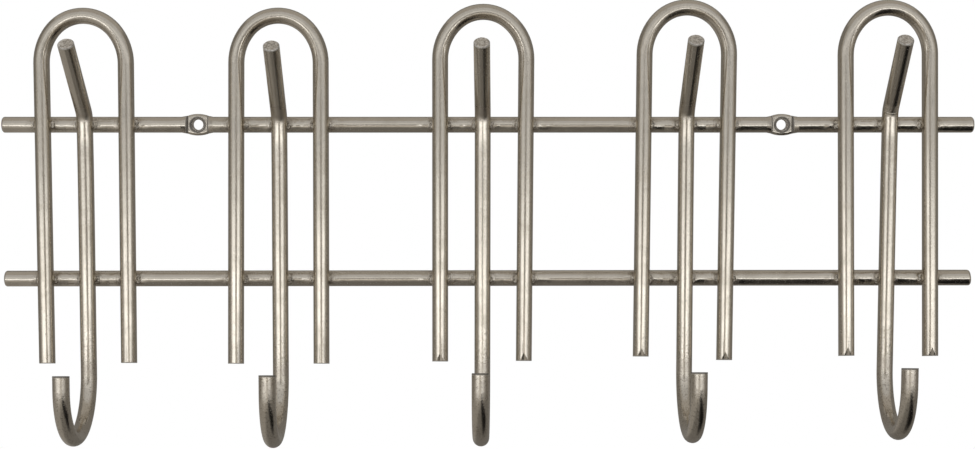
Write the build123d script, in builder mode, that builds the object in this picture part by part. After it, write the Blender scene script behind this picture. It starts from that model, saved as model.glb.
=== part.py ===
from build123d import *
import os
from collections import namedtuple
from math import atan2, cos, degrees, radians, sin, tan

# Wall coat rack welded from round wire: two bars, five hairpin loops and five coat hooks.
# +X runs to the right along the bars, +Y into the wall and +Z up. The origin lies on the wall plane,
# midway between the two screw holes. Lengths are in millimetres, angles in degrees.

# Wire
wire_dia = 6.1          # 6 mm wire, over its plating
cut_slant = 8.0         # slant of the cuts on legs and coat hooks, lower towards the wall
weld_sink = 0.8         # how deep a straight upright is pressed into a bar at a weld

# Bars
station_pitch = 76.7    # from one loop and its hook to the next
rack_shift = -0.4       # middle of the bars, from the middle of the screw holes
bar_overhang = 17.0     # bar beyond the axis of the outermost leg
bar_spacing = 59.2      # top bar's axis to bottom bar's axis
bar_end_round = 0.9     # rounding of the bars' ends
shear_angle = 4.0       # slant of the bottom bar's right end

# Eyes pressed into the top bar
eye_inset = 2.7         # each eye sits this far inside the middle of the outer gap
eye_length = 7.8        # between the two die lines
eye_height = 8.3        # across the middle of the flat
eye_shoulder = 6.9      # height of the wire at a die line
eye_shoulder_depth = 5.3
eye_swell = 2.2         # run from round wire to a die line
eye_thickness = 3.3
eye_edge = 1.1          # rounding along the squeezed edges
screw_hole_dia = 4.0
screw_head_dia = 5.5
screw_head_sink = 0.35  # straight wall above the countersink
countersink_angle = 90.0

# Loops
loop_width = 32.2       # between the axes of the two legs
loop_rise = 42.7        # top of the arch's axis above the top bar's axis
arch_height = 17.9      # of the arch alone, a little more than half the width
crown_radius = 15.0     # of the top of the arch
loop_foot = 31.0        # leg ends below the bottom bar's axis

# Hooks
ease_start = 31.5       # where the shank starts to bow to the room, below the top bar's axis
ease_radius = 1000.0
ease_angle = 1.5        # lean of the shank where it crosses the top bar
prong_start = 1.9       # where the prong's bend begins, above the top bar's axis
prong_bend = 6.0
prong_angle = 42.9      # prong from the upright, towards the room
prong_length = 33.4     # straight run of the prong
prong_edge = 0.45       # broken edge round the prong's end
hook_drop = 36.0        # coat hook's centre below the bottom bar's axis
hook_bend = 20.6
hook_tip = 6.3          # straight end of the coat hook

# Weld metal squeezed out on a bar at each side of an upright
bead_reach = 1.8        # along the bar, from the upright's side
bead_radius = 2.0
bead_rise = 0.75        # above the face of the bar
bead_sizes = (1.0, 0.8, 1.1, 0.9, 0.7, 1.05, 0.85)

# How each loop sits as welded, left to right: shift to the right, lift, lean to the right,
# extra width, legs spread apart downwards and extra length of the left and the right leg
LoopSeat = namedtuple("LoopSeat", "shift lift lean widen spread left_more right_more")
loop_seats = [
    LoopSeat(-0.6, -1.5, 0.0, -0.3, -0.15, -0.35, -0.5),
    LoopSeat(-3.65, -1.4, 0.4, -0.2, 0.2, 0.2, 0.0),
    LoopSeat(-2.5, 0.1, 0.25, 0.6, -0.16, 0.8, 0.5),
    LoopSeat(-1.75, 1.8, 0.4, 0.0, 0.0, 0.8, 2.0),
    LoopSeat(-1.1, 1.8, -0.95, 0.0, 0.05, 0.3, 0.95),
]

# How each hook sits: shift, lift and lean, how far prong and coat hook are turned to the right,
# and extra length of the prong, of the drop to the coat hook and of its straight end
HookSeat = namedtuple("HookSeat", "shift lift lean prong_turn hook_turn prong_more drop_more tip_more")
hook_seats = [
    HookSeat(-0.4, -0.5, 0.0, -2.4, -0.8, -0.15, -0.2, -0.8),
    HookSeat(-3.35, -1.0, 0.1, -0.1, -0.4, -0.3, 0.0, 0.1),
    HookSeat(-2.6, -0.3, 0.1, -1.4, -1.6, 0.35, 0.25, 0.25),
    HookSeat(-1.55, 0.6, 0.1, 0.2, 0.15, 0.45, 0.1, -0.55),
    HookSeat(-0.4, 1.1, 0.3, -2.1, -1.8, -0.05, -0.4, -0.2),
]

# Places that follow from these sizes
wire_r = wire_dia / 2
bar_y = -wire_r
upright_y = bar_y - wire_dia + weld_sink
bottom_z = -bar_spacing
bar_length = (len(loop_seats) - 1) * station_pitch + loop_width + 2 * bar_overhang
bar_left = rack_shift - bar_length / 2
bar_right = rack_shift + bar_length / 2
eye_x = (len(loop_seats) / 2 - 1) * station_pitch - eye_inset


def upright_plane(number, seat):
    """Plane of an upright at a station: local X to the right, local Y up, facing the room."""
    x = rack_shift + (number - (len(loop_seats) - 1) / 2) * station_pitch + seat.shift
    right = (cos(radians(seat.lean)), 0, -sin(radians(seat.lean)))
    return Plane(origin=(x, upright_y, seat.lift), x_dir=right, z_dir=(0, -1, 0))


def side_plane(front, turn):
    """Plane through an upright's axis: local X towards the room and turned to the right, local Y up."""
    outward = front.z_dir * cos(radians(turn)) + front.x_dir * sin(radians(turn))
    return Plane(origin=front.origin, x_dir=outward, z_dir=outward.cross(front.y_dir))


def run_wire(path):
    """Round wire along a path."""
    with BuildSketch(Plane(origin=path @ 0, z_dir=path % 0)) as section:
        Circle(wire_r)
    sweep(section.sketch, path=path)


def shear(place, normal):
    """Cuts an end of a wire off at a plane, on the side that the normal points to."""
    with Locations(Plane(origin=place, z_dir=normal)):
        Cylinder(wire_dia, wire_dia, align=(Align.CENTER, Align.CENTER, Align.MIN), mode=Mode.SUBTRACT)


def slant_normal(outward, up):
    """Upward normal of a cut that runs lower towards the wall."""
    return up * cos(radians(cut_slant)) - outward * sin(radians(cut_slant))


def hairpin_loop(front, seat):
    """Hairpin of wire: two legs under an arch of three tangent arcs, its feet cut at a slant."""
    half = (loop_width + seat.widen) / 2
    spring_z = loop_rise - arch_height
    rise = arch_height - crown_radius
    side_radius = (crown_radius**2 - half**2 - rise**2) / (2 * (crown_radius - half))
    inset = side_radius - half
    flank = degrees(atan2(rise, inset))
    leg_length = spring_z - bottom_z + loop_foot
    drop = (sin(radians(seat.spread)), cos(radians(seat.spread)))
    with BuildPart() as loop:
        with BuildLine(front) as path:
            feet = []
            for side, more in ((-1, seat.left_more), (1, seat.right_more)):
                spring = (
                    side * (side_radius * cos(radians(seat.spread)) - inset),
                    spring_z + side_radius * sin(radians(seat.spread)),
                )
                length = leg_length + more
                foot = (spring[0] + side * length * drop[0], spring[1] - length * drop[1])
                spare = (foot[0] + side * wire_r * drop[0], foot[1] - wire_r * drop[1])
                Line(spare, spring)
                feet.append(front.from_local_coords(foot))
            CenterArc((inset, spring_z), side_radius, 180 - flank, flank - seat.spread)
            CenterArc((0, spring_z + rise), crown_radius, flank, 180 - 2 * flank)
            CenterArc((-inset, spring_z), side_radius, seat.spread, flank - seat.spread)
        run_wire(path.wire())
        for foot in feet:
            shear(foot, -slant_normal(front.z_dir, front.y_dir))
    return loop


def bent(start, radius, heading, new_heading):
    """Point reached by bending a wire; headings lean from upright towards the room."""
    out = radius * (cos(radians(heading)) - cos(radians(new_heading)))
    up = radius * (sin(radians(new_heading)) - sin(radians(heading)))
    return (start[0] + out, start[1] + up)


def coat_hook(front, seat):
    """One wire bent into a slanting prong, a shank and a coat hook."""
    hook_z = bottom_z - hook_drop - seat.drop_more
    ease = (0, -ease_start)
    ease_middle = bent(ease, ease_radius, 0, ease_angle / 2)
    ease_end = bent(ease, ease_radius, 0, ease_angle)
    corner = (ease_end[0] + (prong_start - ease_end[1]) * tan(radians(ease_angle)), prong_start)
    corner_middle = bent(corner, prong_bend, ease_angle, (ease_angle + prong_angle) / 2)
    prong = bent(corner, prong_bend, ease_angle, prong_angle)
    prong_run = prong_length + seat.prong_more
    prong_end = (
        prong[0] + prong_run * sin(radians(prong_angle)),
        prong[1] + prong_run * cos(radians(prong_angle)),
    )
    prong_at = side_plane(front, seat.prong_turn).from_local_coords
    hook_side = side_plane(front, seat.hook_turn)
    hook_at = hook_side.from_local_coords
    tip = hook_at((2 * hook_bend, hook_z + hook_tip + seat.tip_more))
    with BuildPart() as hook:
        with BuildLine() as path:
            Line(prong_at(prong_end), prong_at(prong))
            ThreePointArc(prong_at(prong), prong_at(corner_middle), prong_at(corner))
            Line(prong_at(corner), prong_at(ease_end))
            ThreePointArc(prong_at(ease_end), prong_at(ease_middle), prong_at(ease))
            shank = Line(prong_at(ease), hook_at((0, hook_z)))
            hook_low = hook_at((hook_bend, hook_z - hook_bend))
            bend = ThreePointArc(shank @ 1, hook_low, hook_at((2 * hook_bend, hook_z)))
            Line(bend @ 1, tip + hook_side.y_dir * wire_r)
        run_wire(path.wire())
        shear(tip, slant_normal(hook_side.x_dir, hook_side.y_dir))
        chamfer(hook.faces().filter_by(GeomType.PLANE).sort_by(Axis.Z)[-1].edges(), prong_edge)
    return hook


def round_run(start, end, z):
    """Stretch of plain round bar from one X to another."""
    with BuildSketch(Plane.YZ.offset(start)) as section:
        with Locations((bar_y, z)):
            Circle(wire_r)
    extrude(section.sketch, amount=end - start)


def eye_shoulder_run(die_x, outward):
    """Shoulder where the round bar swells and dips towards a die line."""
    with BuildSketch(Plane.YZ.offset(die_x + outward * eye_swell)) as round_section:
        with Locations((bar_y, 0)):
            Circle(wire_r)
    with BuildSketch(Plane.YZ.offset(die_x)) as die_section:
        with Locations((-eye_shoulder_depth / 2, 0)):
            Ellipse(eye_shoulder_depth / 2, eye_shoulder / 2)
    loft([round_section.sketch, die_section.sketch])


def seat_uprights():
    """Presses the saddles of all the uprights into a bar."""
    for upright in loops + hooks:
        add(upright.part, mode=Mode.SUBTRACT)


def crossings(z):
    """X of every upright where it crosses a bar at that height."""
    places = []
    below_spring = loop_rise - arch_height - z
    for number, (loop_seat, hook_seat) in enumerate(zip(loop_seats, hook_seats)):
        loop_x = upright_plane(number, loop_seat).origin.X + z * tan(radians(loop_seat.lean))
        hook_x = upright_plane(number, hook_seat).origin.X + z * tan(radians(hook_seat.lean))
        half = (loop_width + loop_seat.widen) / 2 + below_spring * tan(radians(loop_seat.spread))
        places += [loop_x - half, hook_x, loop_x + half]
    return places


def weld_beads(bar, z):
    """Weld metal on a bar: a low bead at each side of every upright, trimmed to bar and uprights."""
    with BuildPart() as beads:
        count = 0
        for x in crossings(z):
            for side in (-1, 1):
                size = bead_sizes[count % len(bead_sizes)]
                count += 1
                out = wire_r + bead_reach * size - bead_radius * size
                sunk = (bead_radius - bead_rise) * size
                with Locations((x + side * out, -wire_dia + sunk, z)):
                    Sphere(bead_radius * size)
        add(bar.part, mode=Mode.SUBTRACT)
        seat_uprights()
    return beads


# Loops and hooks
loops = [hairpin_loop(upright_plane(number, seat), seat) for number, seat in enumerate(loop_seats)]
hooks = [coat_hook(upright_plane(number, seat), seat) for number, seat in enumerate(hook_seats)]

# Flat of one eye, pressed against the wall side of the wire, with its screw hole
with BuildPart() as eye_flat:
    with BuildSketch(Plane.XZ):
        with BuildLine():
            top = ThreePointArc(
                (-eye_length / 2, eye_shoulder / 2), (0, eye_height / 2), (eye_length / 2, eye_shoulder / 2)
            )
            right = Line(top @ 1, (eye_length / 2, -eye_shoulder / 2))
            low = ThreePointArc(right @ 1, (0, -eye_height / 2), (-eye_length / 2, -eye_shoulder / 2))
            Line(low @ 1, top @ 0)
        make_face()
    extrude(amount=eye_thickness)
    fillet(eye_flat.edges().filter_by(GeomType.CIRCLE), eye_edge)
    with Locations(Plane(origin=(0, screw_head_sink - eye_thickness, 0), z_dir=(0, -1, 0))):
        CounterSinkHole(
            screw_hole_dia / 2, screw_head_dia / 2, depth=eye_thickness, counter_sink_angle=countersink_angle
        )

# Top bar: round runs between the two pressed eyes
with BuildPart() as top_bar:
    shoulder_x = eye_length / 2 + eye_swell
    round_run(bar_left, -eye_x - shoulder_x, 0)
    round_run(-eye_x + shoulder_x, eye_x - shoulder_x, 0)
    round_run(eye_x + shoulder_x, bar_right, 0)
    for x in (-eye_x, eye_x):
        eye_shoulder_run(x - eye_length / 2, -1)
        eye_shoulder_run(x + eye_length / 2, 1)
    with Locations((-eye_x, 0, 0), (eye_x, 0, 0)):
        add(eye_flat.part)
    bar_ends = top_bar.faces().filter_by(GeomType.PLANE).sort_by(Axis.X)
    fillet(bar_ends[0].edges() + bar_ends[-1].edges(), bar_end_round)
    seat_uprights()

# Bottom bar: plain round bar with a slanting cut at the right
with BuildPart() as bottom_bar:
    round_run(bar_left, bar_right, bottom_z)
    shear_normal = (cos(radians(shear_angle)), 0, sin(radians(shear_angle)))
    shear((bar_right - wire_r * tan(radians(shear_angle)), bar_y, bottom_z), shear_normal)
    fillet(bottom_bar.faces().filter_by(GeomType.PLANE).edges(), bar_end_round)
    seat_uprights()

# Weld metal
top_bar_welds = weld_beads(top_bar, 0)
bottom_bar_welds = weld_beads(bottom_bar, bottom_z)

# One file for each piece, and one for the weld metal on each bar
pieces = {
    "top_bar": top_bar,
    "bottom_bar": bottom_bar,
    "top_bar_welds": top_bar_welds,
    "bottom_bar_welds": bottom_bar_welds,
}
for number, (loop, hook) in enumerate(zip(loops, hooks), start=1):
    pieces[f"loop_{number}"] = loop
    pieces[f"hook_{number}"] = hook
os.makedirs("parts", exist_ok=True)
for name, piece in pieces.items():
    piece.part.label = name
    export_step(piece.part, f"parts/{name}.step")
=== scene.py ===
"""Dresses a welded wire coat rack: satin nickel on the wires, weld metal at the crossings, a small studio.

Laid out as an add-on and run as a script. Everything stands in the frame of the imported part: +X runs to the
right along the bars, +Y into the wall and +Z up, with the origin midway between the two screw holes.
Objects are in metres. Inside the materials, places are in millimetres.
"""

import random
from collections import namedtuple
from functools import reduce
from math import cos, pi, radians, sin

import bpy
from bpy.props import FloatProperty, FloatVectorProperty, IntProperty, PointerProperty
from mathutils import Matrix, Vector


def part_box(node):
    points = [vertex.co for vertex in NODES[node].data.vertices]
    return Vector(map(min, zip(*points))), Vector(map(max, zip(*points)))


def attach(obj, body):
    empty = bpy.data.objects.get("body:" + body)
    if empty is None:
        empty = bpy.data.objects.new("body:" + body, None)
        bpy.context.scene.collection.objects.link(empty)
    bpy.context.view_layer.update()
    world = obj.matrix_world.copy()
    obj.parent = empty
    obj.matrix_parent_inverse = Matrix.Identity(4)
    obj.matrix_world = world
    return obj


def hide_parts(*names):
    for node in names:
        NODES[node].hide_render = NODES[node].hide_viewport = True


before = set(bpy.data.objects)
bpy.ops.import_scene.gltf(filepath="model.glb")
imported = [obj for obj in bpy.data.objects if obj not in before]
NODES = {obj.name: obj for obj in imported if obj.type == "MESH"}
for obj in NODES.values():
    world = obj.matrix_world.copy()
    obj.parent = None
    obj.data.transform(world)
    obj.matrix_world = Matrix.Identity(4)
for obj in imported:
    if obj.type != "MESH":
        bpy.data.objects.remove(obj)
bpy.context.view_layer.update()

bl_info = {
    "name": "Wire Coat Rack",
    "version": (1, 0, 0),
    "blender": (4, 5, 0),
    "location": "View3D > Sidebar > Coat Rack",
    "description": "Finishes a welded wire coat rack and sets up its studio",
    "category": "Object",
}

BARS = ("top_bar", "bottom_bar")
LOOPS = tuple(sorted(name for name in NODES if name.startswith("loop_")))
HOOKS = tuple(sorted(name for name in NODES if name.startswith("hook_")))
BODY = "root"
MM = 1000.0                  # millimetres in a metre

# Sizes as in the part, in millimetres and degrees
WIRE_RADIUS = 3.05
PRONG_ANGLE = 42.9           # from the upright
ARCH_HEIGHT = 17.9
EYED_BAR = "top_bar"         # the bar with the two pressed eyes
EYE_HALF = 4.5               # from the middle of an eye to the far side of a die line
DIE_LINE = 3.9               # from the middle of an eye to a die line
SCREW_HEAD_RADIUS = 2.75
RIM_RADIUS = 2.85            # painted shade line round the seat of a screw head
PRONG_STRAIGHT = 24.0        # from a prong's end to where it is surely straight
PRONG_REACH = 37.0           # from a prong's end to past its bend

# Marks of the tools, in millimetres
PINCHED = ("loop_3", "loop_4", "loop_5")    # loops whose feet show the dents of the cutter
DENT_DEPTH = 0.7             # at the cut
DENT_HEIGHT = 4.2            # from the cut up
DENT_WIDTH = 2.0             # to each side of the leg's middle
RIBBED = "hook_5"            # the hook whose prong shows the ribs of the bending tool
RIB_PITCH = 0.75
RIB_HEIGHT = 0.05
BEND_EASE = 14.0             # wire over which a prong's bend runs out
BEND_CORE = 3.0              # wire over which the easing is rounded at its top
SHANK_FILL = 0.8             # by which the bend looks eased

# Finish
SQUARE_ON = (0.8, 0.95)      # cosines at which a face begins to count, and fully counts, as a cut end
# Bright specks: dust on the wire, and painted glints on the weld metal and near the welds
DUST_AND_GLINT = (0.9, 0.88, 0.84)


# Settings that a user would change

class WireSettings(bpy.types.PropertyGroup):
    """Finish of the plated wire."""

    nickel: FloatVectorProperty(
        name="Nickel", description="Colour of the plating", subtype="COLOR", default=(0.66, 0.61, 0.53),
        min=0, max=1,
    )
    tarnish: FloatVectorProperty(
        name="Tarnish", description="Colour of the dull patches", subtype="COLOR", default=(0.55, 0.50, 0.42),
        min=0, max=1,
    )
    # Colour of the heat marks, pits and cracks, and of the painted contact shade where bars and uprights meet
    scorch: FloatVectorProperty(
        name="Scorch", description="Colour of the heat marks at the welds", subtype="COLOR",
        default=(0.24, 0.20, 0.16), min=0, max=1,
    )
    # Painted shade: colour of the dark lines painted along creases, rims, die lines and cut edges, where
    # shade falls
    painted_edge_shade: FloatVectorProperty(
        name="Shade", description="Colour of the dirt in creases and at burrs", subtype="COLOR",
        default=(0.035, 0.03, 0.025), min=0, max=1,
    )
    cut_steel: FloatVectorProperty(
        name="Cut steel", description="Colour of the sheared wire ends", subtype="COLOR",
        default=(0.84, 0.81, 0.76), min=0, max=1,
    )
    roughness: FloatProperty(
        name="Roughness", description="Roughness of the satin plating", subtype="FACTOR", default=0.21,
        min=0, max=1,
    )
    cut_roughness: FloatProperty(
        name="Cut roughness", description="Roughness of the sheared ends", subtype="FACTOR", default=0.5,
        min=0, max=1,
    )
    line_depth: FloatProperty(
        name="Draw lines", description="Depth of the lines left by the drawing die", subtype="DISTANCE",
        default=0.000009, min=0, max=0.0002, precision=6,
    )
    peel_depth: FloatProperty(
        name="Peel", description="Height of the ripple on bent wire", subtype="DISTANCE", default=0.00002,
        min=0, max=0.0002, precision=6,
    )
    wave_depth: FloatProperty(
        name="Waves", description="Height of the long waves left by straightening", subtype="DISTANCE",
        default=0.00009, min=0, max=0.0005, precision=6,
    )
    rib_depth: FloatProperty(
        name="Ribs", description="Height of the fine ribs across bent wire", subtype="DISTANCE",
        default=0.000006, min=0, max=0.0002, precision=6,
    )
    dent_depth: FloatProperty(
        name="Dents", description="Depth of the shallow dents along the bars", subtype="DISTANCE",
        default=0.0008, min=0, max=0.002, precision=6,
    )
    pit_depth: FloatProperty(
        name="Pits", description="Depth of the small pits", subtype="DISTANCE", default=0.00003,
        min=0, max=0.0002, precision=6,
    )


class WeldSettings(bpy.types.PropertyGroup):
    """Weld metal squeezed out at the crossings."""

    metal: FloatVectorProperty(
        name="Weld metal", description="Colour of the clean weld metal", subtype="COLOR",
        default=(0.68, 0.63, 0.55), min=0, max=1,
    )
    # Painted shade: colour of the dark patches painted among the weld's lumps
    scale: FloatVectorProperty(
        name="Scale", description="Colour of the dark oxide in the hollows", subtype="COLOR",
        default=(0.10, 0.085, 0.07), min=0, max=1,
    )
    roughness: FloatProperty(
        name="Roughness", description="Roughness of the weld metal", subtype="FACTOR", default=0.16,
        min=0, max=1,
    )
    lumps: FloatProperty(
        name="Lumps", description="How far the bead is lumpy, as a share of its size", subtype="FACTOR",
        default=0.3, min=0, max=1,
    )
    seed: IntProperty(name="Seed", description="Start of the random lumps", default=7, min=0)


class StudioSettings(bpy.types.PropertyGroup):
    """Camera, cards and floor."""

    camera_place: FloatVectorProperty(
        name="Camera", description="Where the camera stands", subtype="TRANSLATION", unit="LENGTH",
        default=(-0.00835, -0.6397, 0.00139),
    )
    camera_aim: FloatVectorProperty(
        name="Aim", description="Point that the camera looks at", subtype="TRANSLATION", unit="LENGTH",
        default=(-0.00109, 0.0, -0.03863),
    )
    lens: FloatProperty(
        name="Lens", description="Focal length in millimetres on a 36 mm sensor", default=61.02,
        min=10, max=300,
    )
    low_card: FloatProperty(
        name="Low card", description="Brightness of the white card below the camera", default=2.5,
        min=0, max=10,
    )
    high_card: FloatProperty(
        name="High card", description="Brightness of the grey card above the camera", default=0.58,
        min=0, max=10,
    )
    flags: FloatProperty(
        name="Flags", description="Brightness of the dark side flags", default=0.22, min=0, max=10
    )
    floor: FloatVectorProperty(
        name="Floor", description="Colour of the pale floor", subtype="COLOR", default=(0.86, 0.85, 0.83),
        min=0, max=1,
    )
    floor_drop: FloatProperty(
        name="Floor drop", description="Floor below the screw holes", subtype="DISTANCE", default=0.8, min=0.2
    )


class CoatRackSettings(bpy.types.PropertyGroup):
    """All settings of the coat rack."""

    wire: PointerProperty(type=WireSettings)
    weld: PointerProperty(type=WeldSettings)
    studio: PointerProperty(type=StudioSettings)


# Shader expressions

class Signal:
    """A shader socket whose arithmetic adds Math nodes."""

    def __init__(self, graph, socket):
        self.graph = graph
        self.socket = socket

    def __add__(self, other):
        return self.graph.math("ADD", self, other)

    def __sub__(self, other):
        return self.graph.math("SUBTRACT", self, other)

    def __rsub__(self, other):
        return self.graph.math("SUBTRACT", other, self)

    def __mul__(self, other):
        return self.graph.math("MULTIPLY", self, other)

    def __truediv__(self, other):
        return self.graph.math("DIVIDE", self, other)

    def __neg__(self):
        return self.graph.math("MULTIPLY", self, -1.0)

    def __abs__(self):
        return self.graph.math("ABSOLUTE", self)

    __radd__ = __add__
    __rmul__ = __mul__


class Graph:
    """A node tree that is filled by expressions."""

    def __init__(self, tree):
        tree.nodes.clear()
        self.tree = tree

    def node(self, kind, settings, sockets, output=0):
        """Adds one node with its settings and the values or links of its sockets, and returns one output."""
        made = self.tree.nodes.new(kind)
        for name, value in settings.items():
            setattr(made, name, value)
        for name, value in sockets.items():
            if isinstance(value, Signal):
                self.tree.links.new(value.socket, made.inputs[name])
            else:
                made.inputs[name].default_value = value
        return Signal(self, made.outputs[output]) if made.outputs else None

    def math(self, operation, *values):
        """A Math node on one to three values."""
        return self.node("ShaderNodeMath", {"operation": operation}, dict(enumerate(values)))

    def most(self, values):
        """The largest of several values."""
        return reduce(lambda first, second: self.math("MAXIMUM", first, second), values)

    def rise(self, value, low, high):
        """Smooth step from 0 at low to 1 at high."""
        return self.node(
            "ShaderNodeMapRange",
            {"interpolation_type": "SMOOTHSTEP"},
            {"Value": value, "From Min": low, "From Max": high},
        )

    def fall(self, value, low, high):
        """Smooth step from 1 at low to 0 at high."""
        return 1 - self.rise(value, low, high)

    def limit(self, value, low, high):
        """A value kept between two bounds."""
        return self.math("MINIMUM", self.math("MAXIMUM", value, low), high)

    def blend(self, share, first, second):
        """Colour between two colours, each plain or a signal."""
        sockets = {0: share}
        for socket, colour in ((6, first), (7, second)):
            sockets[socket] = colour if isinstance(colour, Signal) else colour4(colour)
        return self.node("ShaderNodeMix", {"data_type": "RGBA"}, sockets, output=2)

    def coat(self, colour, coats):
        """A colour under several coats, each a share and its colour."""
        for share, coat in coats:
            colour = self.blend(share, colour, coat)
        return colour

    def vector(self, x, y, z):
        """Vector from three values."""
        return self.node("ShaderNodeCombineXYZ", {}, {0: x, 1: y, 2: z})

    def noise(self, vector, scale, detail, roughness):
        """Fractal noise from 0 to 1."""
        return self.node(
            "ShaderNodeTexNoise",
            {"noise_dimensions": "3D"},
            {"Vector": vector, "Scale": scale, "Detail": detail, "Roughness": roughness},
        )

    def place(self):
        """X, Y and Z on the piece, in millimetres."""
        spot = self.node("ShaderNodeTexCoord", {}, {}, output="Object")
        scaled = self.node("ShaderNodeVectorMath", {"operation": "SCALE"}, {0: spot, "Scale": MM})
        return [self.node("ShaderNodeSeparateXYZ", {}, {0: scaled}, output=axis) for axis in "XYZ"]

    def facing(self, way):
        """How far the surface faces a direction, from -1 to 1."""
        normal = self.node("ShaderNodeNewGeometry", {}, {}, output="True Normal")
        return self.node(
            "ShaderNodeVectorMath", {"operation": "DOT_PRODUCT"}, {0: normal, 1: way}, output="Value"
        )

    def bump(self, height):
        """Normal from a height in millimetres."""
        return self.node("ShaderNodeBump", {}, {"Height": height, "Strength": 1.0, "Distance": 1 / MM})

    def metal(self, colour, roughness, normal, metallic=1.0):
        """Surface of bare or plated metal, as the tree's output."""
        surface = self.node(
            "ShaderNodeBsdfPrincipled",
            {},
            {"Base Color": colour, "Metallic": metallic, "Roughness": roughness, "Normal": normal},
        )
        self.node("ShaderNodeOutputMaterial", {}, {"Surface": surface})


def new_material(name):
    """An empty material and its graph."""
    material = bpy.data.materials.new(name)
    material.use_nodes = True
    return material, Graph(material.node_tree)


def colour4(colour):
    """A colour with its alpha, as colour sockets take it."""
    return (*colour, 1.0)


# What the frame tells about the wires

def corners_mm(node):
    """Lowest and highest corner of a node, in millimetres."""
    low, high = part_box(node)
    return low * MM, high * MM


def points_mm(node):
    """A node's points, in millimetres."""
    return [point.co * MM for point in NODES[node].data.vertices]


def bead_boxes(node):
    """Lowest and highest corner of each weld bead on a bar, left to right, in millimetres."""
    gap = 0.5
    boxes = []
    for point in sorted(points_mm(node), key=lambda p: p.x):
        if boxes and point.x - boxes[-1][1].x < gap:
            low, high = boxes[-1]
            boxes[-1] = (Vector(map(min, low, point)), Vector(map(max, high, point)))
        else:
            boxes.append((point.copy(), point.copy()))
    return boxes


def eye_place(node):
    """How far the middle of a pressed eye lies from the origin, in millimetres."""
    tall = [abs(point.x) for point in points_mm(node) if abs(point.z) > WIRE_RADIUS * 1.2]
    return (min(tall) + max(tall)) / 2


def cut_height(y, points, end):
    """Height of a slanted cut at a depth y.

    End is 1 for a wire that ends below and -1 for one that ends above.
    """
    extreme = min(point.z * end for point in points)
    ring = [point for point in points if point.z * end < extreme + 1]
    front = min(ring, key=lambda point: point.y)
    back = max(ring, key=lambda point: point.y)
    slope = (back.z - front.z) / (back.y - front.y)
    return (y - front.y) * slope + front.z


# Where each kind of wire runs, is bent, is cut and was heated

Lay = namedtuple(
    "Lay", "along across deep mottled cut scorched bent strained uneven raised dark", defaults=(0.0,) * 5
)


def eye_marks(graph, node, place):
    """Pressed eyes: where they are mottled, where they are countersunk, and the painted shade along their
    rims and die lines.
    """
    x, y, z = place
    from_eye = abs(abs(x) - eye_place(node))
    mottled = graph.fall(from_eye, EYE_HALF, EYE_HALF + 2)
    from_hole = graph.math("SQRT", from_eye * from_eye + z * z)
    cone = graph.fall(from_hole, SCREW_HEAD_RADIUS - 0.1, SCREW_HEAD_RADIUS)
    sunk = cone * graph.rise(-y, 0, 0.2)
    # Painted shade: a dark ring round the seat of the screw head
    rim_shade = graph.fall(abs(from_hole - RIM_RADIUS), 0.2, 0.5)
    # Painted shade: dark lines along the die lines and onto the shoulders beside them
    die_line_shade = graph.rise(from_eye, DIE_LINE - 0.35, DIE_LINE - 0.05)
    die_line_shade = die_line_shade * graph.fall(from_eye, DIE_LINE + 0.3, DIE_LINE + 0.7)
    darkness = 0.85
    return mottled, sunk, graph.most([rim_shade, die_line_shade]) * darkness


def lay_bar(graph, node):
    """A straight bar along X."""
    place = graph.place()
    x, y, z = place
    low, high = corners_mm(node)
    middle = (low.x + high.x) / 2
    half = (high.x - low.x) / 2
    at_ends = graph.rise(abs(x - middle), half - 2, half - 1.5)
    cut = graph.rise(abs(graph.facing((1, 0, 0))), *SQUARE_ON) * at_ends
    heat_reach = 3.0
    bead_places = [(bead_low.x + bead_high.x) / 2 for bead_low, bead_high in bead_boxes(node + "_welds")]
    heat = graph.most([1 - abs(x - bead_x) / heat_reach for bead_x in bead_places])
    # Heat marks and painted contact shade on the front of a bar beside each weld
    front = graph.rise(y, -WIRE_RADIUS, -WIRE_RADIUS * 2)
    mottled = graph.rise(heat, -1, 1) * 0.6
    plain_share = 0.12
    dark = 0.0
    if node == EYED_BAR:
        eye_mottled, sunk, dark = eye_marks(graph, node, place)
        mottled = graph.most([mottled, eye_mottled])
        cut = graph.most([cut, sunk])
    return Lay(
        along=x, across=z, deep=y, mottled=mottled, cut=cut, scorched=graph.rise(heat, 0, 1) * front,
        uneven=plain_share + (1 - plain_share) * graph.rise(heat, -2, 1), dark=dark,
    )


def heat_and_shade_by_bars(graph, y, z):
    """Heat marks and painted contact shade on an upright, where it lies on the two bars."""
    heat_reach = 4.5
    back_y = -6.5
    bar_heights = [(low.z + high.z) / 2 for low, high in map(corners_mm, BARS)]
    heat = graph.most([1 - abs(z - bar_z) / heat_reach for bar_z in bar_heights])
    return graph.rise(heat, 0, 1) * graph.rise(y, back_y - 1, back_y + 1)


def foot_mark(graph, x, z, points):
    """Pointed dent that the cutter left at the foot of a leg, from 0 to 1 at the cut."""
    foot = min(point.z for point in points)
    near = [point.x for point in points if point.z < foot + 1]
    leg = (min(near) + max(near)) / 2
    share = 1 - (z - foot) / DENT_HEIGHT - abs(x - leg) / DENT_WIDTH
    return graph.math("MAXIMUM", share, 0.0)


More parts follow.
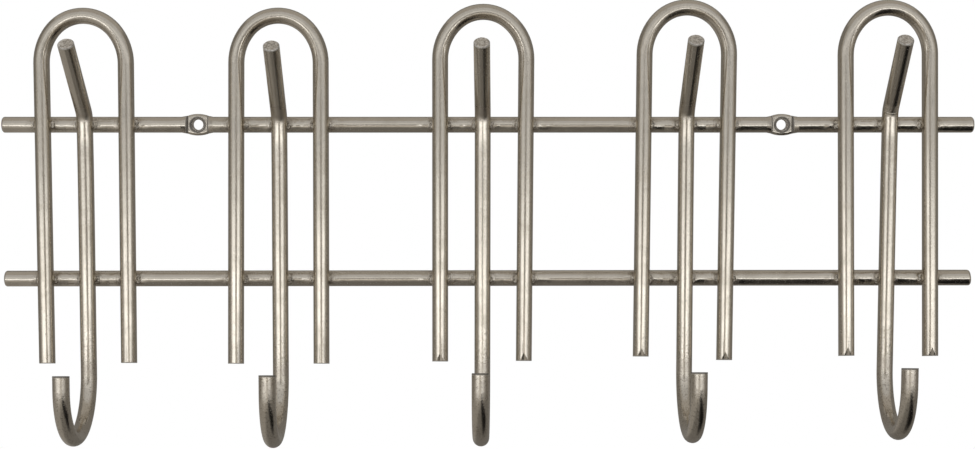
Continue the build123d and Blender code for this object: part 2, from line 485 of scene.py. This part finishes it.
def lay_loop(graph, node):
    """A hairpin: two legs under an arch."""
    x, y, z = graph.place()
    low, high = corners_mm(node)
    points = points_mm(node)
    arch_points = [point.x for point in points if point.z > high.z - WIRE_RADIUS * 4]
    middle = (min(arch_points) + max(arch_points)) / 2
    radius = (max(arch_points) - min(arch_points)) / 2 - WIRE_RADIUS
    spring = high.z - WIRE_RADIUS - ARCH_HEIGHT
    out = x - middle
    up = graph.math("MAXIMUM", z - spring, 0.0) * (radius / ARCH_HEIGHT)
    turn = graph.math("ARCTAN2", up, abs(out))
    leg_offset = 0.3
    along = graph.math("MINIMUM", z - spring, 0.0) + turn * radius + out * leg_offset
    bent = graph.rise(z, spring - 4, spring + 4)
    at_feet = graph.fall(z, low.z + 5, low.z + 6)
    sides = (-1, 1)
    legs = [[point for point in points if (point.x - middle) * side > 0] for side in sides]
    out_of_reach = 20.0
    above_cuts = [
        z - cut_height(y, leg, 1) + out_of_reach * graph.rise((middle - x) * side, -1, 1)
        for leg, side in zip(legs, sides)
    ]
    # Painted shade: a dark line along the cut at each foot
    cut_edge_shade = graph.fall(graph.math("MINIMUM", *above_cuts), 0.1, 0.5)
    raised = 0.0
    if node in PINCHED:
        raised = graph.most([foot_mark(graph, x, z, leg) for leg in legs]) * -DENT_DEPTH
    return Lay(
        along=along, across=graph.math("SQRT", out * out + up * up), deep=y, mottled=bent * 0.25,
        cut=graph.rise(graph.facing((0, 0, -1)), *SQUARE_ON) * at_feet, scorched=heat_and_shade_by_bars(graph, y, z),
        bent=bent, raised=raised, dark=cut_edge_shade * 0.75,
    )


Hook = namedtuple("Hook", "points middle radius spring way side prong_end")


def hook_shape(node):
    """A hook's points, the middle, radius and height of its foot's bend, and its prong's line and end."""
    low, high = corners_mm(node)
    points = points_mm(node)
    radius = (high.y - low.y) / 2 - WIRE_RADIUS
    way = Vector((0, -sin(radians(PRONG_ANGLE)), cos(radians(PRONG_ANGLE))))
    return Hook(
        points=points, middle=(low.y + high.y) / 2, radius=radius, spring=low.z + WIRE_RADIUS + radius,
        way=way, side=Vector((0, way.z, -way.y)), prong_end=max(point.dot(way) for point in points),
    )


def hook_ends(graph, hook, y, z, prong_along):
    """Sheared ends of a hook, and the painted shade lines round them."""
    at_tip = graph.fall(y, hook.middle - 8, hook.middle - 4)
    below_bars = graph.fall(z, hook.spring + 16, hook.spring + 18)
    tip_cut = graph.rise(graph.facing((0, 0, 1)), *SQUARE_ON) * at_tip * below_bars
    prong_cut = graph.rise(prong_along, hook.prong_end - 0.55, hook.prong_end - 0.4)
    tip_y = hook.middle - hook.radius / 2
    tip_z = hook.spring + hook.radius
    tip = [point for point in hook.points if point.y < tip_y and point.z < tip_z]
    # Painted shade: dark lines along the cut at the tip and at the prong's end
    tip_edge_shade = graph.fall(abs(cut_height(y, tip, -1) - z), 0.3, 0.9)
    prong_edge_shade = graph.fall(abs(prong_along - hook.prong_end + 0.45), 0.15, 0.4)
    return graph.most([tip_cut, prong_cut]), graph.most([tip_edge_shade * at_tip * 0.9, prong_edge_shade * 0.55])


def prong_bend(graph, node, hook, y, z, prong_along, prong_across):
    """Height in millimetres that eases or ribs a prong's bend, and how far the wire is strained there."""
    shank_low = -10
    shank_high = 4
    shank_y = max(point.y for point in hook.points if shank_low < point.z < shank_high) - WIRE_RADIUS
    prong_points = [point for point in hook.points if point.dot(hook.way) > hook.prong_end - 20]
    prong_middle = max(point.dot(hook.side) for point in prong_points) - WIRE_RADIUS
    corner_z = (prong_middle - shank_y * hook.side.y) / hook.side.z
    corner_along = shank_y * hook.way.y + corner_z * hook.way.z
    inside = graph.math("MINIMUM", shank_y - y, prong_middle - prong_across)
    on_way = prong_along - corner_along
    bend_along = (on_way + z - corner_z) / (1 + cos(radians(PRONG_ANGLE)))
    distance = graph.math("SQRT", bend_along * bend_along + BEND_CORE * BEND_CORE)
    eased = graph.math("POWER", graph.limit(1 - distance / BEND_EASE, 0, 1), 3.0) * SHANK_FILL
    raised = eased * (2 * graph.rise(inside, -1.5, 1.5) - 1)
    strained = graph.rise(bend_along, -2.5, 0.5) * graph.fall(bend_along, 2, 8)
    if node == RIBBED:
        strained = strained * 0.2
        on_ribs = graph.rise(on_way, 1, 2) * graph.fall(on_way, 4.5, 6)
        raised = raised + graph.math("SINE", on_way * (2 * pi / RIB_PITCH)) * on_ribs * RIB_HEIGHT
    return raised, strained


def lay_hook(graph, node):
    """A coat hook: slanting prong, straight shank and a half-round bend at the foot."""
    x, y, z = graph.place()
    hook = hook_shape(node)
    spring = hook.spring
    out = y - hook.middle
    down = graph.math("MAXIMUM", spring - z, 0.0)
    shank_across = graph.math("SQRT", out * out + down * down)
    turn = graph.math("ARCTAN2", down, abs(out))
    shank_along = graph.math("MAXIMUM", z - spring, 0.0) - turn * hook.radius
    prong_along = y * hook.way.y + z * hook.way.z
    prong_across = y * hook.side.y + z * hook.side.z
    straight_from = hook.prong_end - PRONG_STRAIGHT
    bent_from = hook.prong_end - PRONG_REACH
    on_prong = graph.rise(prong_along, straight_from - 6, straight_from)
    foot_bent = graph.fall(z, spring - 3, spring + 3)
    prong_bent = graph.rise(prong_along, bent_from - 2, bent_from) * (1 - on_prong)
    cut, dark = hook_ends(graph, hook, y, z, prong_along)
    raised, prong_strain = prong_bend(graph, node, hook, y, z, prong_along, prong_across)
    shank_share = 0.25
    foot_strain = graph.rise(z, spring - 4, spring) * graph.fall(z, spring + 2, spring + 8) * 0.7
    return Lay(
        along=shank_along + (prong_along - shank_along) * on_prong,
        across=shank_across + (prong_across - shank_across) * on_prong,
        deep=x, mottled=shank_share + (1 - shank_share) * graph.fall(z, spring + 6, spring + 26), cut=cut,
        scorched=heat_and_shade_by_bars(graph, y, z), bent=graph.most([foot_bent, prong_bent]),
        strained=graph.most([prong_strain, foot_strain]), raised=raised, dark=dark,
    )


# Finishes

def satin_nickel(node, settings, lay_wire):
    """Satin nickel plating on one drawn wire, with its draw lines, pits and cut ends, heat marks with painted
    contact shade, painted glints, and painted shade lines along creases and cut edges.
    """
    material, graph = new_material(node + "_satin_nickel")
    lay = lay_wire(graph, node)
    place = graph.vector(*graph.place())
    line_stretch = 0.03
    rib_stretch = 0.08
    line_space = graph.vector(lay.along * line_stretch, lay.across, lay.deep)
    rib_space = graph.vector(lay.along, lay.across * rib_stretch, lay.deep * rib_stretch)
    lines = graph.noise(line_space, scale=1.6, detail=3, roughness=0.6)
    fine_lines = graph.noise(line_space, scale=7.0, detail=2, roughness=0.6)
    ribs = graph.noise(rib_space, scale=1.8, detail=2, roughness=0.6)
    waves = graph.noise(place, scale=0.06, detail=1, roughness=0.4)
    dents = graph.noise(place, scale=0.22, detail=1, roughness=0.5)
    patches = graph.noise(place, scale=0.12, detail=3, roughness=0.6)
    peel = graph.noise(place, scale=0.9, detail=2, roughness=0.5)
    mottle = graph.noise(place, scale=1.5, detail=2, roughness=0.55)
    pits = graph.rise(graph.noise(place, scale=2.6, detail=1, roughness=0.4), 0.72, 0.80)
    specks = graph.rise(graph.noise(place, scale=3.3, detail=1, roughness=0.4), 0.76, 0.82)
    web = graph.noise(place, scale=0.55, detail=3, roughness=0.7)
    cracks = graph.fall(abs(web - 0.5), 0.0, 0.045)

    cut_colour = graph.coat(settings.cut_steel, (
        (graph.rise(mottle, 0.40, 0.66) * 0.6, settings.tarnish),
        (cracks * 0.8, settings.scorch),
    ))
    colour = graph.coat(settings.nickel, (
        (graph.rise(patches, 0.45, 0.75) * 0.6, settings.tarnish),
        (graph.rise(mottle, 0.52, 0.70) * lay.mottled * 0.55, settings.scorch),
        (pits * 0.55, settings.scorch),
        # Bright specks: sparse dust, and painted glints that thicken where the wire is mottled
        (specks * (0.35 + 0.4 * lay.mottled), DUST_AND_GLINT),
        # Heat marks and painted contact shade where bars and uprights meet
        (lay.scorched * graph.rise(peel, 0.35, 0.65) * 0.8, settings.scorch),
        (lay.cut, cut_colour),
        # Painted shade along the eyes' rims and die lines and along the cut edges
        (lay.dark, settings.painted_edge_shade),
    ))

    rough = settings.roughness + (lines - 0.5) * 0.10 + (patches - 0.5) * 0.14 + pits * 0.2
    rough = rough + lay.scorched * 0.15 + lay.strained * 0.15
    rough = rough + (settings.cut_roughness - rough) * lay.cut
    rough = rough + lay.dark * 0.3

    height = lines * (settings.line_depth * MM) + fine_lines * (settings.line_depth * MM / 4)
    height = height + waves * (settings.wave_depth * MM)
    height = height + ribs * (settings.rib_depth * MM) * lay.bent
    height = height + peel * (settings.peel_depth * MM) * (0.2 + 0.65 * lay.bent + 0.8 * lay.mottled)
    height = height + mottle * (settings.peel_depth * MM) * (1.2 * lay.mottled + lay.cut)
    height = height + dents * (settings.dent_depth * MM) * lay.uneven
    height = height - pits * (settings.pit_depth * MM) + lay.raised
    graph.metal(colour, rough, graph.bump(height), 1 - lay.dark * 0.8)
    return material


def weld_metal(name, settings):
    """Lumpy weld metal, clean on top, with painted shade in the hollows and painted glints in bright specks.
    """
    material, graph = new_material(name)
    place = graph.vector(*graph.place())
    lumps = graph.noise(place, scale=0.9, detail=3, roughness=0.6)
    grit = graph.noise(place, scale=3.0, detail=2, roughness=0.6)
    # Painted shade: dark patches among the lumps
    scale = graph.rise(lumps * 0.6 + grit * 0.4, 0.46, 0.62)
    # Painted glints: bright specks on the weld metal
    specks = graph.rise(graph.noise(place, scale=2.2, detail=1, roughness=0.4), 0.62, 0.70)
    colour = graph.coat(settings.metal, ((scale * 0.8, settings.scale), (specks * 0.8, DUST_AND_GLINT)))
    rough = settings.roughness + scale * 0.2 - specks * 0.08
    lump_height = 0.9
    grit_height = 0.1
    graph.metal(colour, rough, graph.bump(lumps * lump_height + grit * grit_height))
    return material


def dress(node, material):
    """Gives a node of the part its finish."""
    NODES[node].data.materials.clear()
    NODES[node].data.materials.append(material)


class COATRACK_OT_finish_bars(bpy.types.Operator):
    """Plates the two bars"""

    bl_idname = "coat_rack.finish_bars"
    bl_label = "Finish Bars"

    def execute(self, context):
        for node in BARS:
            dress(node, satin_nickel(node, context.scene.coat_rack.wire, lay_bar))
        return {"FINISHED"}


class COATRACK_OT_finish_loops(bpy.types.Operator):
    """Plates the five loops"""

    bl_idname = "coat_rack.finish_loops"
    bl_label = "Finish Loops"

    def execute(self, context):
        for node in LOOPS:
            dress(node, satin_nickel(node, context.scene.coat_rack.wire, lay_loop))
        return {"FINISHED"}


class COATRACK_OT_finish_hooks(bpy.types.Operator):
    """Plates the five hooks"""

    bl_idname = "coat_rack.finish_hooks"
    bl_label = "Finish Hooks"

    def execute(self, context):
        for node in HOOKS:
            dress(node, satin_nickel(node, context.scene.coat_rack.wire, lay_hook))
        return {"FINISHED"}


# Weld metal

def model_bead(low, high, lumps, draw):
    """Models one lumpy bead in the room of the part's bead, given in millimetres, and returns its object."""
    middle = (low + high) / 2
    half = (high - low) / 2
    bpy.ops.object.select_all(action="DESELECT")
    bpy.ops.mesh.primitive_ico_sphere_add(subdivisions=3, radius=1.0, location=(0, 0, 0))
    bead = bpy.context.object
    bpy.ops.object.mode_set(mode="EDIT")
    bpy.ops.mesh.select_all(action="SELECT")
    bpy.ops.transform.vertex_random(offset=lumps, uniform=0.3, normal=1.0, seed=draw.randrange(10000))
    bpy.ops.mesh.vertices_smooth(factor=0.5, repeat=2)
    size = [share / MM for share in half]
    bpy.ops.transform.resize(value=size, center_override=(0, 0, 0))
    bpy.ops.transform.translate(value=[share / MM for share in middle])
    bpy.ops.object.mode_set(mode="OBJECT")
    rounded = bead.modifiers.new("rounded", "SUBSURF")
    rounded.levels = rounded.render_levels = 1
    bpy.ops.object.modifier_apply(modifier=rounded.name)
    bpy.ops.object.shade_smooth()
    return bead


class COATRACK_OT_build_weld_metal(bpy.types.Operator):
    """Models the weld metal at every crossing of the two bars"""

    bl_idname = "coat_rack.build_weld_metal"
    bl_label = "Build Weld Metal"

    def execute(self, context):
        settings = context.scene.coat_rack.weld
        draw = random.Random(settings.seed)
        material = weld_metal("squeezed_weld_metal", settings)
        for bar in BARS:
            beads = [model_bead(low, high, settings.lumps, draw) for low, high in bead_boxes(bar + "_welds")]
            bpy.ops.object.select_all(action="DESELECT")
            for bead in beads:
                bead.select_set(True)
            context.view_layer.objects.active = beads[0]
            bpy.ops.object.join()
            piece = context.view_layer.objects.active
            piece.name = bar + "_weld_metal"
            piece.data.materials.append(material)
            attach(piece, BODY)
            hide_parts(bar + "_welds")
        return {"FINISHED"}


# Studio

FLOOR_SIZE = 5.6             # metres
SENSOR_WIDTH = 36.0          # millimetres
ROOM = ((-2.2, -1.3, -0.58), (2.2, 1.6, 2.0))            # metres, two corners of the box of cards
LENS = ((-0.165, -0.72, -0.32), (0.145, -0.72, 0.02))    # metres, two corners of the camera's card
FULL_GLOW = 2.6              # brightness of a painted card where its share of light is 1
CEILING_GLOW = 0.43
BLACK = (0.0, 0.0, 0.0)
WHITE = (1.0, 1.0, 1.0)
WARM = (1.0, 0.945, 0.87)
SOFT_GREY = (0.85, 0.85, 0.85)

Step = namedtuple("Step", "edge softness glow")


def glow_steps(graph, value, first, steps):
    """Brightness that starts plain and changes softly at the edge of each step."""
    glow = first
    before = first
    for step in steps:
        share = graph.rise(value, step.edge - step.softness, step.edge + step.softness)
        glow = share * (step.glow - before) + glow
        before = step.glow
    return glow


def front_glow(graph, settings):
    """The front wall: white strip below the lens, grey at eye height, pale above, darker at both sides."""
    x, _, z = graph.place()
    low = settings.low_card
    high = settings.high_card
    under = glow_steps(graph, z, 0.42, [Step(edge=-410, softness=60, glow=0.85)])
    under = under * (1 - graph.rise(x, -50, 250) * 0.7)
    over = glow_steps(graph, z, low, [
        Step(edge=-170, softness=30, glow=low * 0.62),
        Step(edge=-105, softness=25, glow=high * 0.55),
        Step(edge=85, softness=30, glow=high * 1.45),
        Step(edge=420, softness=100, glow=high),
    ])
    glow = under + (over - under) * graph.rise(z, -385, -262)
    return glow * (1 - graph.rise(abs(x), 1000, 2400) * 0.42)


def floor_glow(graph, settings):
    """The ground: lighter in front and at the left, with a black patch at the right."""
    x, y, _ = graph.place()
    in_front = graph.fall(y, -1300, -350)
    at_left = graph.fall(x, -420, -170)
    glow = settings.flags * 0.82 + 0.25 * in_front + 0.15 * at_left
    patch = 0.85 * graph.rise(x, 60, 220) + 0.12 * graph.rise(x, 240, 320)
    patch = patch * graph.fall(x, 650, 800) * graph.fall(y, 0, 220)
    return glow * (1 - patch)


def side_glow(graph, settings):
    """A side wall: lighter in front."""
    y = graph.place()[1]
    return settings.flags + 0.36 * graph.fall(y, -1300, -200)


def lens_glow(graph, settings):
    """The dark shape of camera and stand."""
    z = graph.place()[2]
    return glow_steps(graph, z, settings.low_card * 0.35, [
        Step(edge=-165, softness=10, glow=0.12),
        Step(edge=-115, softness=10, glow=0.40),
        Step(edge=-75, softness=10, glow=0.28),
    ])


def room_side(axis, end):
    """Lowest and highest corner of a side of the room: across an axis, at its low (0) or high (1) end."""
    corners = [list(corner) for corner in ROOM]
    for corner in corners:
        corner[axis] = ROOM[end][axis]
    return corners


def add_card(name, corners, colour, glow, settings):
    """A flat card between two opposite corners that share one coordinate, seen only in reflections.

    The glow is a number, or a function that paints it.
    """
    low, high = map(Vector, corners)
    spans = high - low
    flat = min(range(3), key=lambda axis: spans[axis])
    turns = ((0, radians(90), 0), (radians(90), 0, 0), (0, 0, 0))
    scales = ((spans.z, spans.y, 1), (spans.x, spans.z, 1), (spans.x, spans.y, 1))
    bpy.ops.object.select_all(action="DESELECT")
    bpy.ops.mesh.primitive_plane_add(size=1.0, location=(low + high) / 2, rotation=turns[flat])
    card = bpy.context.object
    card.scale = scales[flat]
    bpy.ops.object.transform_apply(location=True, rotation=True, scale=True)
    card.name = name
    material, graph = new_material(name)
    if callable(glow):
        painted = graph.blend(glow(graph, settings) * (1 / FULL_GLOW), BLACK, colour)
        light = graph.node("ShaderNodeEmission", {}, {"Color": painted, "Strength": FULL_GLOW})
    else:
        light = graph.node("ShaderNodeEmission", {}, {"Color": colour4(colour), "Strength": glow})
    graph.node("ShaderNodeOutputMaterial", {}, {"Surface": light})
    card.data.materials.append(material)
    card.visible_camera = False
    card.visible_diffuse = False
    card.visible_shadow = False
    card.visible_transmission = False


def build_world(scene):
    """White behind the rack for the eye and in the metal, soft grey light elsewhere."""
    world = bpy.data.worlds.new("studio_world")
    world.use_nodes = True
    scene.world = world
    graph = Graph(world.node_tree)
    seen = [
        graph.node("ShaderNodeLightPath", {}, {}, output=ray)
        for ray in ("Is Camera Ray", "Is Glossy Ray", "Is Transmission Ray")
    ]
    backdrop = graph.math("MINIMUM", seen[0] + seen[1] + seen[2], 1.0)
    light = graph.node("ShaderNodeBackground", {}, {"Color": colour4(SOFT_GREY), "Strength": 1.0})
    white = graph.node("ShaderNodeBackground", {}, {"Color": colour4(WHITE), "Strength": 1.0})
    mixed = graph.node("ShaderNodeMixShader", {}, {0: backdrop, 1: light, 2: white})
    graph.node("ShaderNodeOutputWorld", {}, {"Surface": mixed})


def build_floor(settings):
    """A pale floor that keeps the rack's shadow."""
    bpy.ops.object.select_all(action="DESELECT")
    bpy.ops.mesh.primitive_plane_add(size=FLOOR_SIZE, location=(0, 0, -settings.floor_drop))
    floor = bpy.context.object
    bpy.ops.object.transform_apply(location=True, rotation=True, scale=True)
    floor.name = "floor"
    material, graph = new_material("pale_floor")
    surface = graph.node(
        "ShaderNodeBsdfPrincipled", {}, {"Base Color": colour4(settings.floor), "Roughness": 0.9}
    )
    graph.node("ShaderNodeOutputMaterial", {}, {"Surface": surface})
    floor.data.materials.append(material)


def build_camera(settings, scene):
    """The camera at the photograph's viewing angle."""
    data = bpy.data.cameras.new("camera")
    data.lens = settings.lens
    data.sensor_width = SENSOR_WIDTH
    data.sensor_fit = "HORIZONTAL"
    camera = bpy.data.objects.new("camera", data)
    scene.collection.objects.link(camera)
    camera.location = settings.camera_place
    look = Vector(settings.camera_aim) - Vector(settings.camera_place)
    camera.rotation_mode = "QUATERNION"
    camera.rotation_quaternion = look.to_track_quat("-Z", "Y")
    scene.camera = camera


def add_lamp(name, place, aim, size, energy):
    """A soft square lamp."""
    data = bpy.data.lights.new(name, "AREA")
    data.size = size
    data.energy = energy
    lamp = bpy.data.objects.new(name, data)
    bpy.context.scene.collection.objects.link(lamp)
    lamp.location = place
    lamp.rotation_euler = (Vector(aim) - Vector(place)).to_track_quat("-Z", "Y").to_euler()
    lamp.visible_camera = False
    lamp.visible_glossy = False


class COATRACK_OT_build_studio(bpy.types.Operator):
    """Sets up the cards, the lamp, the floor, the world and the camera"""

    bl_idname = "coat_rack.build_studio"
    bl_label = "Build Studio"

    def execute(self, context):
        scene = context.scene
        settings = scene.coat_rack.studio
        scene.view_settings.view_transform = "Standard"
        add_card("front_card", room_side(1, 0), WHITE, front_glow, settings)
        add_card("floor_card", room_side(2, 0), WARM, floor_glow, settings)
        add_card("ceiling_card", room_side(2, 1), WARM, CEILING_GLOW, settings)
        add_card("left_card", room_side(0, 0), WARM, side_glow, settings)
        add_card("right_card", room_side(0, 1), WARM, side_glow, settings)
        add_card("back_card", room_side(1, 1), WARM, settings.flags, settings)
        add_card("lens_card", LENS, WARM, lens_glow, settings)
        add_lamp("key_lamp", place=(-0.8, -1.0, 1.2), aim=(0, 0, 0), size=1.0, energy=20)
        build_floor(settings)
        build_world(scene)
        build_camera(settings, scene)
        return {"FINISHED"}


# Panel and registration

class COATRACK_PT_sidebar(bpy.types.Panel):
    """Steps and settings of the coat rack"""

    bl_label = "Wire Coat Rack"
    bl_idname = "COATRACK_PT_sidebar"
    bl_space_type = "VIEW_3D"
    bl_region_type = "UI"
    bl_category = "Coat Rack"

    def draw(self, context):
        settings = context.scene.coat_rack
        for group in (settings.wire, settings.weld, settings.studio):
            box = self.layout.box()
            for name in group.__annotations__:
                box.prop(group, name)
        for operator in OPERATORS:
            self.layout.operator(operator.bl_idname)


OPERATORS = (
    COATRACK_OT_finish_bars,
    COATRACK_OT_finish_loops,
    COATRACK_OT_finish_hooks,
    COATRACK_OT_build_weld_metal,
    COATRACK_OT_build_studio,
)
CLASSES = (WireSettings, WeldSettings, StudioSettings, CoatRackSettings, *OPERATORS, COATRACK_PT_sidebar)


def register():
    """Registers the classes and the settings."""
    for item in CLASSES:
        bpy.utils.register_class(item)
    bpy.types.Scene.coat_rack = PointerProperty(type=CoatRackSettings)


def unregister():
    """Removes the settings and the classes."""
    del bpy.types.Scene.coat_rack
    for item in reversed(CLASSES):
        bpy.utils.unregister_class(item)


def main():
    """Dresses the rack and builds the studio."""
    register()
    bpy.ops.coat_rack.finish_bars()
    bpy.ops.coat_rack.finish_loops()
    bpy.ops.coat_rack.finish_hooks()
    bpy.ops.coat_rack.build_weld_metal()
    bpy.ops.coat_rack.build_studio()


if __name__ == "__main__":
    main()
